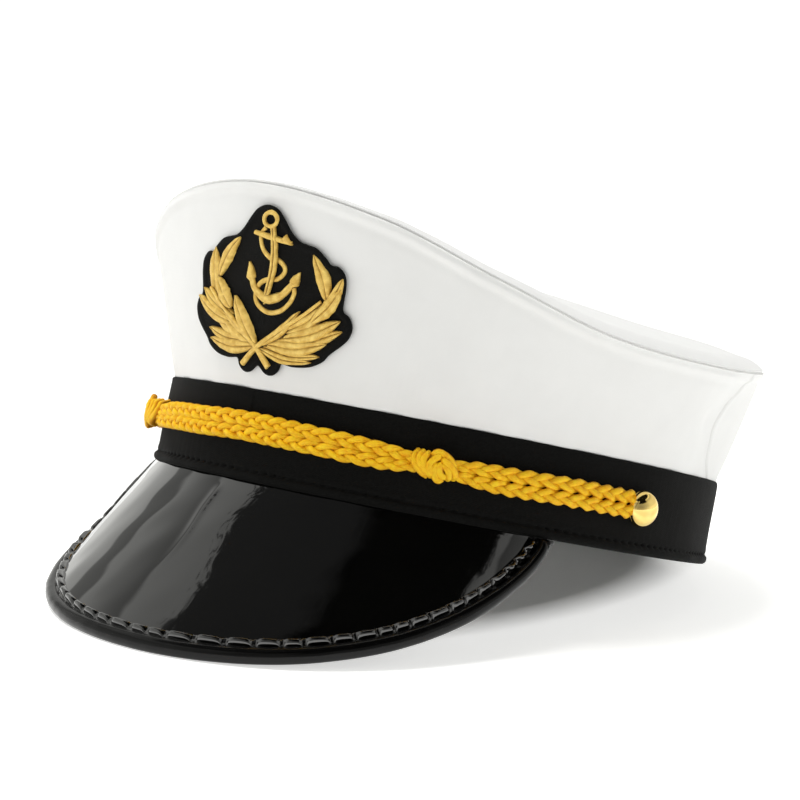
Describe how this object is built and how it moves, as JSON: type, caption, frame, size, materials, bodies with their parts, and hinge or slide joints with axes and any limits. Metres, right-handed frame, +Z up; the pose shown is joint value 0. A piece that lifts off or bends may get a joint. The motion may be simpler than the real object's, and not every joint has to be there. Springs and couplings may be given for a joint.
{
  "type": "captain hat",
  "caption": "Peaked captain's cap with a white cloth crown, black band, glossy black visor, gold braid with knots and buttons, and an embroidered anchor and laurel badge.",
  "frame": {"origin": "on the surface the cap rests on, under the middle of its bounding box", "axes": "+Z up, -Y towards the visor, +X towards the wearer's left, with the cap at its resting pitch"},
  "size_m": [0.2016, 0.2642, 0.1338],
  "materials": {
    "white_cloth": "matte smooth woven cloth",
    "black_cloth": "matte woven cloth",
    "patent": "high gloss patent",
    "patent_binding": "glossy rolled binding, stitched",
    "gold_cord": "plaited cord with a soft sheen",
    "button_metal": "polished",
    "badge_cloth": "matte felt with a raised border",
    "badge_thread": "satin stitched thread"
  },
  "bodies": {
    "root": {"crown_front": "white_cloth", "crown_back": "white_cloth", "crown_top": "white_cloth", "band": "black_cloth", "visor": "patent", "visor_binding": "patent_binding", "braid_upper_front": "gold_cord", "braid_upper_left": "gold_cord", "braid_upper_right": "gold_cord", "braid_lower_front": "gold_cord", "braid_lower_left": "gold_cord", "braid_lower_right": "gold_cord", "braid_knot_left": "gold_cord", "braid_knot_right": "gold_cord", "button_left": "button_metal", "button_right": "button_metal", "badge_patch": "badge_cloth", "badge_anchor": "badge_thread", "badge_laurel": "badge_thread"}
  },
  "joints": []
}
